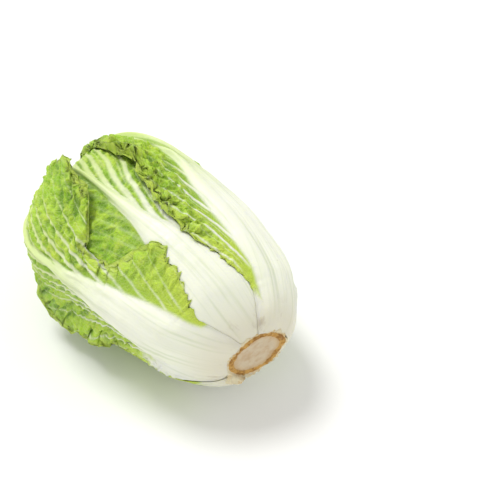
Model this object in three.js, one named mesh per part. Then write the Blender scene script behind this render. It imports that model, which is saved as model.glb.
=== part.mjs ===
// A head of napa cabbage, cut and trimmed, lying on its flank.
// Millimetres. The head's axis runs along X, with the cut root end at +X and a little lower than
// the leafy tip, and +Z is up.
// Every layer is a height over one barrel-shaped core surface. The heights are stacked from the
// inside out, so that each leaf lies on what is under it, as in a real head.
import * as THREE from "three";

// Driving dimensions of the head
const ROOT_HALF_LENGTH = 134;
const TIP_HALF_LENGTH = 120;
const CORE_RADIUS = 78;
const ROOT_SQUARENESS = 3.5;
const TIP_SQUARENESS = 2.8;
const TAPER = 0.26;
const UNDERSIDE_FLATNESS = 0.95;
const BUTT_RADIUS = 29;

// The root end leans towards -Y and its cut is oblique: both set in from one place along the axis.
// Its very end also hangs a little. The whole head then slopes down to its root, so that its
// flank lies along the floor.
const LEAN_START = 42;
const ROOT_LEAN = 6.2;
const CUT_SLANT = 0.26;
const DROP_START = 90;
const MOUTH_DROP = 4.5;
const FLANK_SLOPE = 5.1;

// The stem that the leaves grow on, with its cut face at the root end
const STEM_RADIUS = 28;
const STEM_DEPTH = 75;
const STEM_TIP_RADIUS = 5;
const STEM_FACE_RISE = 4.5;
const STEM_CLEARANCE = 0.6;

// The lattice that all layers share: rows run from the butt to the tip, columns go round
const ROWS = 32;
const COLUMNS = 40;
const PROFILE_SAMPLES = 400;

// Leaf flesh
const LAYER_GAP = 0.4;
const BLADE_THICKNESS = 1.3;
const ROOT_THICKNESS = 1.4;
const DRAPE_PASSES = 3;
const VEIN_RISE = 2.2;
const VEIN_PITCH = 34;
const VEIN_SWEEP = 0.9;
const BLISTER_RISE = 1.5;
const EDGE_WAVE = 5.5;
const EDGE_WAVE_LENGTH = 31;
const TIP_ROUNDING = 0.16;
const CUT_MARGIN = 0.22;

// How deep the head's weight presses the lowest rib flat
const FLOOR_PRESS = 5;

// Each share runs from the butt, 0, to the pole of the tip, 1, and each size is in mm
const WIDTH_AT = [
  [0, 26], [0.08, 34], [0.13, 42], [0.19, 56], [0.28, 68], [0.4, 78],
  [0.55, 84], [0.75, 84], [0.9, 72], [1, 60],
];
const RIB_AT = [[0, 25], [0.08, 31], [0.16, 33], [0.31, 27], [0.47, 17], [0.7, 8], [1, 4]];
const RIB_HEIGHT_AT = [[0, 0.4], [0.06, 3.6], [0.15, 7.4], [0.35, 7.6], [0.5, 6], [0.75, 3.4], [1, 1]];

// The leaves from the inside out. angle is the rib's place round the head from the top towards
// -Y, and drift is how far it has turned at the tip, both in degrees. reach is the share of the
// way to the pole, and frill lifts the edge, in mm. widths are the half widths before and after
// the rib, and rib is the rib's own. Each of stands lifts the blade round a share along the head
// and from one signed share of its width to another.
const INNER_LEAVES = [
  { angle: 160, drift: 20, reach: 0.995, frill: 1.6 },
  { angle: 20, drift: -25, reach: 0.99, frill: 1.8 },
  { angle: -80, drift: 15, reach: 0.98, frill: 2 },
  { angle: 70, drift: 20, reach: 0.97, frill: 2 },
  { angle: 210, drift: -15, reach: 0.965, frill: 2 },
];
const WRAPPER_LEAVES = [
  { name: "leaf_low_front", angle: 134, drift: 4, reach: 0.93, frill: 3 },
  { name: "leaf_low_back", angle: -106, drift: -4, reach: 0.94, frill: 3 },
  {
    name: "leaf_top", angle: 21, drift: 4, reach: 0.965, frill: 3.5,
    rib: [
      [0, 20], [0.04, 26], [0.13, 31], [0.22, 27], [0.29, 22], [0.36, 17], [0.43, 11], [0.55, 7], [1, 4],
    ],
  },
  { name: "leaf_under", angle: 181, drift: -2, reach: 0.9, frill: 2 },
  {
    name: "leaf_back", angle: -41, drift: 10, reach: 0.94, frill: 4,
    rib: [
      [0, 22], [0.11, 25], [0.18, 27], [0.26, 31], [0.42, 29], [0.49, 25], [0.56, 17], [0.7, 8], [1, 4],
    ],
    widths: [
      WIDTH_AT,
      [
        [0, 22], [0.06, 29], [0.13, 31], [0.19, 44], [0.26, 54], [0.36, 63], [0.43, 66],
        [0.5, 61], [0.56, 59], [0.6, 53], [0.7, 50], [0.8, 51], [0.9, 55], [1, 50],
      ],
    ],
    stands: [{ at: 0.64, length: 0.14, from: 0.6, to: 1.1, rise: 5 }],
  },
  {
    name: "leaf_front", angle: 76, drift: 6, reach: 0.925, frill: 4,
    rib: [
      [0, 20], [0.08, 29], [0.16, 27], [0.27, 25], [0.38, 20], [0.47, 15], [0.56, 10], [0.7, 6], [1, 4],
    ],
    widths: [
      [
        [0, 20], [0.08, 30], [0.13, 32], [0.17, 39], [0.22, 48], [0.29, 58], [0.35, 65], [0.41, 60],
        [0.43, 24], [0.5, 24], [0.55, 30], [0.58, 66], [0.6, 71], [0.7, 78], [0.8, 84], [1, 80],
      ],
      [
        [0, 26], [0.04, 36], [0.13, 48], [0.28, 50], [0.4, 56], [0.5, 68],
        [0.58, 74], [0.66, 70], [0.75, 62], [0.9, 52], [1, 46],
      ],
    ],
    stands: [
      { at: 0.58, length: 0.24, from: 0.45, to: 1.1, rise: 17 },
      { at: 0.83, length: 0.3, from: -1.6, to: -1.1, rise: 6 },
    ],
  },
];

const MATERIALS = {
  heart: new THREE.MeshStandardMaterial({ color: 0xd7e389, roughness: 0.6, metalness: 0 }),
  leaf: new THREE.MeshStandardMaterial({ color: 0xa9c95a, roughness: 0.55, metalness: 0 }),
  stem: new THREE.MeshStandardMaterial({ color: 0xd9c8a6, roughness: 0.8, metalness: 0 }),
};

const radians = THREE.MathUtils.degToRad;
const { clamp, lerp, smoothstep } = THREE.MathUtils;

/** A seeded source of numbers from 0 to 1, so that every run gives the same head. */
function seededRandom(seed) {
  let state = seed;
  return () => {
    state = (state * 1664525 + 1013904223) % 4294967296;
    return state / 4294967296;
  };
}

/** Value of a table of [share, value] pairs at a share, with straight lines between pairs. */
function tableAt(table, share) {
  const next = table.findIndex(([at]) => at >= share);
  if (next === -1) return table[table.length - 1][1];
  if (next === 0) return table[0][1];
  const [x0, y0] = table[next - 1];
  const [x1, y1] = table[next];
  return lerp(y0, y1, (share - x0) / (x1 - x0));
}

/** Point of the core's outline at a turn from 0, the root pole, to PI, the tip pole. */
function outlinePoint(turn) {
  const atRoot = turn < Math.PI / 2;
  const length = atRoot ? ROOT_HALF_LENGTH : TIP_HALF_LENGTH;
  const power = 2 / (atRoot ? ROOT_SQUARENESS : TIP_SQUARENESS);
  const along = Math.abs(Math.cos(turn)) ** power * (atRoot ? 1 : -1);
  const radius = CORE_RADIUS * Math.abs(Math.sin(turn)) ** power * (1 - TAPER * along);
  return new THREE.Vector2(along * length, radius);
}

/** The outline as points with their arc length, from the butt's ring to the tip's pole. */
function measureOutline() {
  const points = [];
  let length = 0;
  for (let n = 0; n <= PROFILE_SAMPLES; n++) {
    const point = outlinePoint((Math.PI * n) / PROFILE_SAMPLES);
    if (point.x > 0 && point.y < BUTT_RADIUS) continue;
    if (points.length) length += point.distanceTo(points[points.length - 1].point);
    points.push({ point, length });
  }
  return { points, length };
}

const OUTLINE = measureOutline();
const WIDEST = OUTLINE.points.reduce((widest, next) => (next.point.y > widest.point.y ? next : widest));

/** Point and outward normal of the outline at a share of its length. */
function outlineAt(share) {
  const wanted = share * OUTLINE.length;
  const next = clamp(OUTLINE.points.findIndex((p) => p.length >= wanted), 1, OUTLINE.points.length - 1);
  const before = OUTLINE.points[next - 1];
  const after = OUTLINE.points[next];
  const part = clamp((wanted - before.length) / (after.length - before.length), 0, 1);
  const point = before.point.clone().lerp(after.point, part);
  const normal = new THREE.Vector2(after.point.y - before.point.y, before.point.x - after.point.x);
  return { point, normal: normal.normalize() };
}

/** Leans a point of the straight head at the root end. */
function lean({ x, y, z }) {
  const set = smoothstep(x, LEAN_START, ROOT_HALF_LENGTH);
  const drop = MOUTH_DROP * smoothstep(x, DROP_START, ROOT_HALF_LENGTH);
  return new THREE.Vector3(x + set * CUT_SLANT * y, y - set * ROOT_LEAN, z - drop);
}

/** Moves a point of the straight head to its place in the head as it lies. */
function lay(point) {
  return lean(point).applyAxisAngle(new THREE.Vector3(0, 1, 0), radians(FLANK_SLOPE));
}

/** The lattice's places on the core surface, each with its share, angle, radii and normal. */
function makeLattice() {
  const places = [];
  for (let row = 0; row <= ROWS; row++) {
    const share = row / ROWS;
    const { point, normal } = outlineAt(share);
    const pastWidest = share * OUTLINE.length > WIDEST.length;
    for (let column = 0; column < COLUMNS; column++) {
      const angle = (2 * Math.PI * column) / COLUMNS;
      const up = Math.cos(angle);
      const side = -Math.sin(angle);
      const squash = up < 0 ? UNDERSIDE_FLATNESS : 1;
      places.push({
        share,
        angle,
        radius: point.y,
        widestYet: pastWidest ? WIDEST.point.y : point.y,
        spot: new THREE.Vector3(point.x, side * point.y, up * point.y * squash),
        normal: new THREE.Vector3(normal.x, side * normal.y, (up * normal.y) / squash).normalize(),
      });
    }
  }
  return places;
}

const LATTICE = makeLattice();
const indexOf = (row, column) => row * COLUMNS + ((column + COLUMNS) % COLUMNS);
const pointAt = (index, height) =>
  lay(LATTICE[index].spot.clone().addScaledVector(LATTICE[index].normal, height));

/** The lattice's triangles, as index triples that face outwards. */
function latticeTriangles() {
  const triangles = [];
  for (let row = 0; row < ROWS; row++) {
    for (let column = 0; column < COLUMNS; column++) {
      const [here, beside] = [indexOf(row, column), indexOf(row, column + 1)];
      const [ahead, across] = [indexOf(row + 1, column), indexOf(row + 1, column + 1)];
      triangles.push([here, across, beside], [here, ahead, across]);
    }
  }
  return triangles;
}

const TRIANGLES = latticeTriangles();

/** How far a leaf stands off at a share along the head and a signed share of its width, in mm. */
function standOff({ at, length, from, to, rise }, share, side) {
  return rise * Math.max(0, 1 - ((share - at) / length) ** 2) * smoothstep(side, from, to);
}

/** Where a place lies on a leaf: mm across from the rib, and its signed share of the half width. */
function placeOnLeaf(leaf, place) {
  const rib = radians(leaf.angle + leaf.drift * smoothstep(place.share, 0.1, 1));
  const turn = Math.atan2(Math.sin(place.angle - rib), Math.cos(place.angle - rib));
  const wave = Math.sin((2 * Math.PI * place.share * OUTLINE.length) / EDGE_WAVE_LENGTH + leaf.angle);
  const widths = leaf.widths ? leaf.widths[turn < 0 ? 0 : 1] : WIDTH_AT;
  const halfWidth = tableAt(widths, place.share) + EDGE_WAVE * wave * smoothstep(place.share, 0.2, 0.45);
  const across = turn * place.widestYet;
  return { across, side: across / halfWidth, halfWidth, wave };
}

/** How far inside a leaf's outline a place is, in mm; negative is outside. */
function insideLeaf(leaf, place) {
  const { side, halfWidth } = placeOnLeaf(leaf, place);
  const wave = EDGE_WAVE * Math.sin(5 * side + leaf.angle);
  const tip = leaf.reach * OUTLINE.length * (1 - TIP_ROUNDING * side ** 2) + wave;
  return Math.min((1 - Math.abs(side)) * halfWidth, tip - place.share * OUTLINE.length);
}

/** A leaf's thickness with its rib, side veins and blisters, in mm. */
function leafThickness(leaf, place, blister) {
  const { across } = placeOnLeaf(leaf, place);
  const ribShare = Math.abs(across) / tableAt(leaf.rib ?? RIB_AT, place.share);
  const rib = tableAt(RIB_HEIGHT_AT, place.share) * Math.max(0, 1 - ribShare ** 4);
  const veinPlace = place.share * OUTLINE.length - VEIN_SWEEP * Math.abs(across);
  const vein = Math.max(0, Math.cos((2 * Math.PI * veinPlace) / VEIN_PITCH));
  const onBlade =
    smoothstep(ribShare, 0.8, 1.3) * smoothstep(place.share, 0.15, 0.3) * smoothstep(place.radius, 8, 35);
  const blade = lerp(ROOT_THICKNESS, BLADE_THICKNESS, smoothstep(place.share, 0, 0.1));
  return blade + rib + onBlade * (VEIN_RISE * vein + BLISTER_RISE * blister);
}

/** How far a leaf's free edge stands off what is under it, in mm. */
function leafLift(leaf, place) {
  const { side, wave } = placeOnLeaf(leaf, place);
  const atEdge = smoothstep(Math.abs(side), 0.6, 1) * smoothstep(place.share, 0.3, 0.6);
  const atTip = smoothstep(place.share, leaf.reach - 0.12, leaf.reach);
  const curl = leaf.frill * Math.max(atEdge, atTip) * (0.6 + 0.4 * wave);
  return (leaf.stands ?? []).reduce((lift, stand) => lift + standOff(stand, place.share, side), curl);
}

/** A height that clears every height under it and is drawn smooth between the high places. */
function drape(under, gap) {
  let over = under.map((height) => height + gap);
  for (let pass = 0; pass < DRAPE_PASSES; pass++) {
    over = over.map((height, index) => {
      const row = Math.floor(index / COLUMNS);
      const column = index % COLUMNS;
      const around = over[indexOf(row, column - 1)] + over[indexOf(row, column + 1)];
      const [before, after] = [Math.max(row - 1, 0), Math.min(row + 1, ROWS)];
      const along = over[indexOf(before, column)] + over[indexOf(after, column)];
      return Math.max(under[index] + gap, (around + along) / 4);
    });
  }
  return over;
}

/** Lays one leaf over a stack of heights: its inner and outer heights and its inside values. */
function layLeaf(leaf, under, gap, random) {
  const inner = drape(under, gap).map((height, index) => height + leafLift(leaf, LATTICE[index]));
  const outer = inner.map((height, index) => height + leafThickness(leaf, LATTICE[index], random()));
  const inside = LATTICE.map((place) => insideLeaf(leaf, place));
  return { inner, outer, inside };
}

/** The heights after a leaf is laid: raised at each corner of each triangle that it reaches into. */
function raiseUnder(laid, under) {
  const raised = [...under];
  for (const triangle of TRIANGLES) {
    if (!triangle.some((index) => laid.inside[index] > 0)) continue;
    for (const index of triangle) raised[index] = laid.outer[index];
  }
  return raised;
}

/** A closed BufferGeometry from points and index triples. */
function closedGeometry(points, triangles) {
  const geometry = new THREE.BufferGeometry().setFromPoints(points);
  geometry.setIndex(triangles.flat());
  geometry.computeVertexNormals();
  return geometry;
}

/** The part of one lattice triangle that lies inside a leaf, as keys of its corners. */
function clipTriangle(triangle, inside) {
  const keys = [];
  triangle.forEach((from, corner) => {
    const to = triangle[(corner + 1) % 3];
    if (inside[from] > 0) keys.push(`${from}`);
    if (inside[from] > 0 !== inside[to] > 0) keys.push(`${Math.min(from, to)}:${Math.max(from, to)}`);
  });
  return keys;
}

/** The point of a leaf's surface that a key names: a lattice corner, or a cut through its edge. */
function keyPoint(key, heights, inside, floor) {
  const [first, second] = key.split(":").map(Number);
  const point = pointAt(first, heights[first]);
  if (second !== undefined) {
    const cut = clamp(inside[first] / (inside[first] - inside[second]), CUT_MARGIN, 1 - CUT_MARGIN);
    point.lerp(pointAt(second, heights[second]), cut);
  }
  point.z = Math.max(point.z, floor);
  return point;
}

/** A leaf as a closed shell: its outer face, its inner face and the wall round its edge. */
function leafGeometry({ inner, outer, inside }, floor) {
  const keys = [];
  const numberOf = new Map();
  const number = (key) => {
    if (!numberOf.has(key)) numberOf.set(key, keys.push(key) - 1);
    return numberOf.get(key);
  };
  const faces = TRIANGLES.flatMap((triangle) => {
    const corners = clipTriangle(triangle, inside).map(number);
    return corners.slice(2).map((corner, n) => [corners[0], corners[n + 1], corner]);
  });
  const used = new Set(faces.flatMap(([a, b, c]) => [`${a}>${b}`, `${b}>${c}`, `${c}>${a}`]));
  const rim = [...used].map((edge) => edge.split(">").map(Number)).filter(([a, b]) => !used.has(`${b}>${a}`));
  const below = keys.length;
  const underFaces = faces.map(([a, b, c]) => [a + below, c + below, b + below]);
  const wall = rim.flatMap(([a, b]) => [[b, a, a + below], [b, a + below, b + below]]);
  const points = [
    ...keys.map((key) => keyPoint(key, outer, inside, floor)),
    ...keys.map((key) => keyPoint(key, inner, inside, -Infinity)),
  ];
  return closedGeometry(points, [...faces, ...underFaces, ...wall]);
}

/** The heart: tightly packed inner leaves in one body, with a socket at the root for the stem. */
function heartGeometry(heights, socket) {
  const points = LATTICE.slice(0, ROWS * COLUMNS).map((_, index) => pointAt(index, heights[index]));
  const pole = points.push(pointAt(ROWS * COLUMNS, heights[ROWS * COLUMNS])) - 1;
  const faces = TRIANGLES.map((triangle) => triangle.map((index) => Math.min(index, pole)));
  const whole = faces.filter(([a, b, c]) => a !== b && b !== c && c !== a);
  let ring = (column) => indexOf(0, column);
  for (const { x, y } of socket) {
    const start = points.length;
    for (let column = 0; column < COLUMNS; column++) {
      const angle = (2 * Math.PI * column) / COLUMNS;
      points.push(lay(new THREE.Vector3(x, -y * Math.sin(angle), y * Math.cos(angle))));
    }
    const next = (column) => start + ((column + COLUMNS) % COLUMNS);
    for (let column = 0; column < COLUMNS; column++) {
      whole.push([ring(column), ring(column + 1), next(column + 1)]);
      whole.push([ring(column), next(column + 1), next(column)]);
    }
    ring = next;
  }
  const bottom = points.push(lay(new THREE.Vector3(socket.at(-1).x, 0, 0))) - 1;
  for (let column = 0; column < COLUMNS; column++) whole.push([ring(column), ring(column + 1), bottom]);
  return closedGeometry(points, whole);
}

/** The stem: a cone inside the heart that widens to the cut face. */
function stemGeometry(faceX, mouthX, endX) {
  const outline = [
    new THREE.Vector2(0, endX),
    new THREE.Vector2(STEM_TIP_RADIUS, endX),
    new THREE.Vector2(STEM_RADIUS, mouthX),
    new THREE.Vector2(STEM_RADIUS, faceX - 1.2),
    new THREE.Vector2(STEM_RADIUS - 1.2, faceX),
    new THREE.Vector2(0, faceX),
  ];
  const geometry = new THREE.LatheGeometry(outline, COLUMNS).rotateZ(-Math.PI / 2);
  const points = geometry.attributes.position;
  for (let n = 0; n < points.count; n++) {
    const { x, y, z } = lay(new THREE.Vector3().fromBufferAttribute(points, n));
    points.setXYZ(n, x, y, z);
  }
  return geometry;
}

const random = seededRandom(7);

let stack = LATTICE.map(() => 0);
for (const leaf of INNER_LEAVES) {
  const laid = layLeaf(leaf, stack, 0, random);
  stack = stack.map((height, index) => (laid.inside[index] > 0 ? laid.outer[index] : height));
}
stack = stack.map((height, index) => height * smoothstep(LATTICE[index].share, 0, 0.2));
const poleHeight = stack[ROWS * COLUMNS];
const heartHeights = stack.map((height, index) => (index < ROWS * COLUMNS ? height : poleHeight));
stack = heartHeights;

const laidLeaves = WRAPPER_LEAVES.map((leaf) => {
  const laid = layLeaf(leaf, stack, LAYER_GAP, random);
  stack = raiseUnder(laid, stack);
  return { leaf, laid };
});

const under = laidLeaves.find(({ leaf }) => leaf.name === "leaf_under").laid;
const underLevels = under.outer.map((height, n) => (under.inside[n] > 0 ? pointAt(n, height).z : 0));
const lowestRib = Math.min(...underLevels);
const floor = lowestRib + FLOOR_PRESS;

const mouthX = LATTICE[0].spot.x;
const socketRadius = STEM_RADIUS + STEM_CLEARANCE;
const stemEndX = mouthX - STEM_DEPTH;
const socket = [
  new THREE.Vector2(mouthX, socketRadius),
  new THREE.Vector2(stemEndX - STEM_CLEARANCE, STEM_TIP_RADIUS + STEM_CLEARANCE),
];

/** A named mesh of the head. */
function part(name, geometry, material) {
  const mesh = new THREE.Mesh(geometry, material);
  mesh.name = name;
  return mesh;
}

const head = new THREE.Group();
head.add(part("stem", stemGeometry(mouthX + STEM_FACE_RISE, mouthX, stemEndX), MATERIALS.stem));
head.add(part("heart", heartGeometry(heartHeights, socket), MATERIALS.heart));
for (const { leaf, laid } of laidLeaves) head.add(part(leaf.name, leafGeometry(laid, floor), MATERIALS.leaf));

// The origin is the middle of the head's footprint, on the surface that it lies on.
const extent = new THREE.Box3().setFromObject(head, true);
head.position.set(-(extent.min.x + extent.max.x) / 2, -(extent.min.y + extent.max.y) / 2, -extent.min.z);

export default head;
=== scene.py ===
"""A head of napa cabbage lying on its flank: leaves with ribs, veins and frills, heart and cut stem."""

from __future__ import annotations

import logging
import math
from dataclasses import dataclass, field
from enum import Enum
from itertools import product
from typing import Any

import bpy
import numpy as np
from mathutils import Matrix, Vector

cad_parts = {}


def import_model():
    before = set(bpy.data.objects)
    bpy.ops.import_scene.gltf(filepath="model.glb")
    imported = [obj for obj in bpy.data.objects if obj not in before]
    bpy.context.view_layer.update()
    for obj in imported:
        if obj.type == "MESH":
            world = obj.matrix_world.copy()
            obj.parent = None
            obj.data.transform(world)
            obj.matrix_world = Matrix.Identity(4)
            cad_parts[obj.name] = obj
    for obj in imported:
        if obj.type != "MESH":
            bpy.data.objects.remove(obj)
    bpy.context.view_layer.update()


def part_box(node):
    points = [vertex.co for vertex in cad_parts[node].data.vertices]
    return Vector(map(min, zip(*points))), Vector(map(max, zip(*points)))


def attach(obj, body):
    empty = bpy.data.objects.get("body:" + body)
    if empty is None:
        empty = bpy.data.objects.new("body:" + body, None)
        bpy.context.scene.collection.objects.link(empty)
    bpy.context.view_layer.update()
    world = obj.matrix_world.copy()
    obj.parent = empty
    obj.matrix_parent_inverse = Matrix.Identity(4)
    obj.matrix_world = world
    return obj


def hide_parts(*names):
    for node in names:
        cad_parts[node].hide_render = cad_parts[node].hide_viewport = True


Array = np.ndarray
LOG = logging.getLogger("napa_cabbage")
MM = 0.001
TURN = 2 * math.pi


class Half(Enum):
    """The two halves of a leaf's blade, named by the turn round the head from its rib."""

    BEFORE = 0
    AFTER = 1


def smoothstep(value: Array | float, low: float, high: float) -> Array:
    """Ease a value from 0 at low to 1 at high.

    Args:
        value: What is eased.
        low: Where the result leaves 0. It may be more than high.
        high: Where the result reaches 1.

    Returns:
        The eased value, from 0 to 1.
    """
    share = np.clip((np.asarray(value, float) - low) / (high - low), 0.0, 1.0)
    return share * share * (3 - 2 * share)


def mix(low: Array | float, high: Array | float, share: Array | float) -> Array:
    """Blend two values by a share from 0 to 1."""
    return low + (high - low) * share


def read_table(table: Array, row: Array, column: Array) -> Array:
    """Read a table between its points, with straight blends. Its last column meets its first.

    Args:
        table: The values.
        row: Places counted in rows.
        column: Places counted in columns.

    Returns:
        The value at each place.
    """
    rows, columns = table.shape
    row = np.clip(row, 0, rows - 1)
    low_row = np.minimum(row.astype(int), rows - 2)
    low_column = column.astype(int) % columns
    next_column = (low_column + 1) % columns
    part_row, part_column = row - low_row, column - np.floor(column)
    near = mix(table[low_row, low_column], table[low_row, next_column], part_column)
    far = mix(table[low_row + 1, low_column], table[low_row + 1, next_column], part_column)
    return mix(near, far, part_row)


@dataclass(frozen=True)
class Ripples:
    """Smooth noise of one grain, as a sum of plane waves with seeded headings.

    Attributes:
        grain: Typical wavelength in mm.
        seed: Seed of the headings and phases.
        waves: How many waves are summed.
    """

    grain: float
    seed: int
    waves: int = 10

    def at(self, x: Array, y: Array) -> Array:
        """Give the noise, mostly from -1 to 1, at places in mm."""
        random = np.random.default_rng(self.seed)
        total = np.zeros(np.broadcast(x, y).shape)
        for _ in range(self.waves):
            heading, phase = random.uniform(0, TURN, 2)
            pace = TURN / (self.grain * random.uniform(0.7, 1.4))
            total += np.sin(pace * (x * math.cos(heading) + y * math.sin(heading)) + phase)
        return total / math.sqrt(2 * self.waves)


@dataclass(frozen=True)
class Cells:
    """Seeded cells of about one size, such as the puckers between fine veins.

    Attributes:
        size: Distance between cells in mm.
        seed: Seed of the cells' centres.
        repeat: Cells along each side of the pattern, before it comes again.
    """

    size: float
    seed: int
    repeat: int = 97

    def at(self, x: Array, y: Array) -> tuple[Array, Array]:
        """Find the cell round each place.

        Args:
            x: First coordinate in mm.
            y: Second coordinate in mm.

        Returns:
            How far each place is from its cell's border, as a share of the cell's size, and a
            number from 0 to 1 that is the cell's own.
        """
        table = np.random.default_rng(self.seed).random((self.repeat, self.repeat, 3))
        across, down = np.broadcast_arrays(x / self.size, y / self.size)
        column, row = np.floor(across).astype(int), np.floor(down).astype(int)
        nearest, second = np.full((2, *across.shape), np.inf)
        own = np.zeros(across.shape)
        for step_x, step_y in product((-1, 0, 1), repeat=2):
            here_x, here_y = column + step_x, row + step_y
            centre = table[here_x % self.repeat, here_y % self.repeat]
            gap = (here_x + centre[..., 0] - across) ** 2 + (here_y + centre[..., 1] - down) ** 2
            closer = gap < nearest
            second = np.where(closer, nearest, np.minimum(second, gap))
            own = np.where(closer, centre[..., 2], own)
            nearest = np.minimum(nearest, gap)
        return np.sqrt(second) - np.sqrt(nearest), own


@dataclass
class Head:
    """The barrel-shaped surface that every layer is a height over. All sizes are in mm.

    Attributes:
        root_half_length: From the widest ring's plane to the root's pole.
        tip_half_length: From that plane to the tip's pole.
        core_radius: Radius of the surface in that plane.
        root_squareness: Exponent of the outline towards the root.
        tip_squareness: Exponent of the outline towards the tip.
        taper: How much wider the tip's side is than the root's.
        underside: Height of the lower half as a share of the upper half's.
        butt_radius: Radius of the ring that the leaves start from.
        lean_start: Where along the axis the root's lean sets in.
        root_lean: How far the root end leans towards -Y.
        cut_slant: Slope of the oblique cut at the root.
        drop_start: Where along the axis the root's end starts to hang.
        mouth_drop: How far the root's end hangs.
        flank_slope: How far the head slopes down to its root, in degrees.
        stem_radius: Radius of the stem's cut face in the frame.
        stem_depth: Depth of the stem behind its mouth in the frame.
        stem_rise: How far the stem's cut face stands out of its mouth in the frame.
        stem_bevel: Bevel round the stem's cut face in the frame.
        stem_end: Radius of the stem's inner end in the frame.
        samples: Places where the outline is measured.
        shift: From the straight head's origin to the frame's, worked out from the stem's box.
    """

    root_half_length: float = 134
    tip_half_length: float = 120
    core_radius: float = 78
    root_squareness: float = 3.5
    tip_squareness: float = 2.8
    taper: float = 0.26
    underside: float = 0.95
    butt_radius: float = 29
    lean_start: float = 42
    root_lean: float = 6.2
    cut_slant: float = 0.26
    drop_start: float = 90
    mouth_drop: float = 4.5
    flank_slope: float = 5.1
    stem_radius: float = 28
    stem_depth: float = 75
    stem_rise: float = 4.5
    stem_bevel: float = 1.2
    stem_end: float = 5
    samples: int = 4000
    shift: Array = field(init=False, default_factory=lambda: np.zeros(3))

    def __post_init__(self) -> None:
        """Measure the outline, then find the frame's origin from the stem's box."""
        turn = np.linspace(0, math.pi, self.samples)
        at_root = turn < math.pi / 2
        half = np.where(at_root, self.root_half_length, self.tip_half_length)
        power = 2 / np.where(at_root, self.root_squareness, self.tip_squareness)
        along = np.abs(np.cos(turn)) ** power * np.where(at_root, 1, -1)
        radius = self.core_radius * np.abs(np.sin(turn)) ** power * (1 - self.taper * along)
        kept = ~((along > 0) & (radius < self.butt_radius))
        self.x, self.radius = (along * half)[kept], radius[kept]
        steps = np.hypot(np.diff(self.x), np.diff(self.radius))
        travelled = np.concatenate([[0], np.cumsum(steps)])
        self.length = float(travelled[-1])
        self.share = travelled / self.length
        out_x = np.gradient(self.radius, travelled)
        out_radius = -np.gradient(self.x, travelled)
        size = np.hypot(out_x, out_radius)
        self.out_x, self.out_radius = out_x / size, out_radius / size
        self.reach = np.maximum.accumulate(self.radius)
        self.mouth = float(self.x[0])
        corners = self.stem_corners()
        self.shift = np.array(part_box("stem")[0]) / MM - corners.min(axis=0)

    def stem_corners(self, sides: int = 40) -> Array:
        """Give corners of the frame's stem, before the shift to the frame's origin."""
        angle = np.arange(sides) / sides * TURN
        face, end = self.mouth + self.stem_rise, self.mouth - self.stem_depth
        rings = (
            (face, self.stem_radius - self.stem_bevel), (face - self.stem_bevel, self.stem_radius),
            (self.mouth, self.stem_radius), (end, self.stem_end),
        )
        points = [
            np.stack([np.full(sides, x), -radius * np.sin(angle), radius * np.cos(angle)], axis=-1)
            for x, radius in rings
        ]
        return self.settle(np.concatenate(points))

    def settle(self, point: Array) -> Array:
        """Lean and lay points of the straight head, as the head lies."""
        lean = smoothstep(point[..., 0], self.lean_start, self.root_half_length)
        x = point[..., 0] + lean * self.cut_slant * point[..., 1]
        y = point[..., 1] - lean * self.root_lean
        drop = smoothstep(point[..., 0], self.drop_start, self.root_half_length)
        z = point[..., 2] - drop * self.mouth_drop
        slope = math.radians(self.flank_slope)
        laid = x * math.cos(slope) + z * math.sin(slope)
        raised = z * math.cos(slope) - x * math.sin(slope)
        return np.stack([laid, y, raised], axis=-1) + self.shift

    def reference(self, share: Array) -> Array:
        """Radius that turns mm across a leaf into an angle: the widest up to that share."""
        return self.outline(self.reach, share)

    def outline(self, values: Array, share: Array) -> Array:
        """Read values that belong to the outline's measured places, at a share."""
        return np.interp(share, self.share, values)

    def point(self, share: Array, angle: Array, height: Array) -> Array:
        """Place a height over the surface.

        Args:
            share: Share of the way from the butt's ring, 0, to the tip's pole, 1.
            angle: Turn round the head from the top towards -Y, in radians.
            height: Height over the surface in mm.

        Returns:
            Points in mm in the frame.
        """
        x, radius = self.outline(self.x, share), self.outline(self.radius, share)
        out_x, out_radius = self.outline(self.out_x, share), self.outline(self.out_radius, share)
        up, side = np.cos(angle), -np.sin(angle)
        squash = np.where(up < 0, self.underside, 1.0)
        normal = np.stack(np.broadcast_arrays(out_x, side * out_radius, up * out_radius / squash), axis=-1)
        normal /= np.linalg.norm(normal, axis=-1, keepdims=True)
        spot = np.stack(np.broadcast_arrays(x, side * radius, up * radius * squash), axis=-1)
        return self.settle(spot + normal * np.asarray(height)[..., None])


Table = tuple[tuple[float, float], ...]


@dataclass(frozen=True)
class Edge:
    """How one half of a blade ends, along the head. Each table is of (share, value) pairs.

    Attributes:
        width: Half width from the rib's middle to the edge, in mm.
        frill: How far the edge waves, in mm.
        curl: How far the edge rolls up, in degrees.
        veined: How strong the side veins are.
        crinkle: Scale of the puckers and wrinkles.
        bare: Share of the head's length up to which the blade is white.
    """

    width: Table = (
        (0, 26), (0.08, 34), (0.13, 42), (0.19, 56), (0.28, 68), (0.4, 78), (0.55, 84), (0.75, 84), (0.9, 72),
        (1, 60),
    )
    frill: Table = ((0, 0), (0.2, 1.5), (0.5, 3.5), (1, 5))
    curl: Table = ((0, 0), (0.3, 20), (0.6, 50), (1, 70))
    veined: Table = ((0, 1), (1, 1))
    crinkle: Table = ((0, 1), (1, 1))
    bare: float = 0.105


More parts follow.
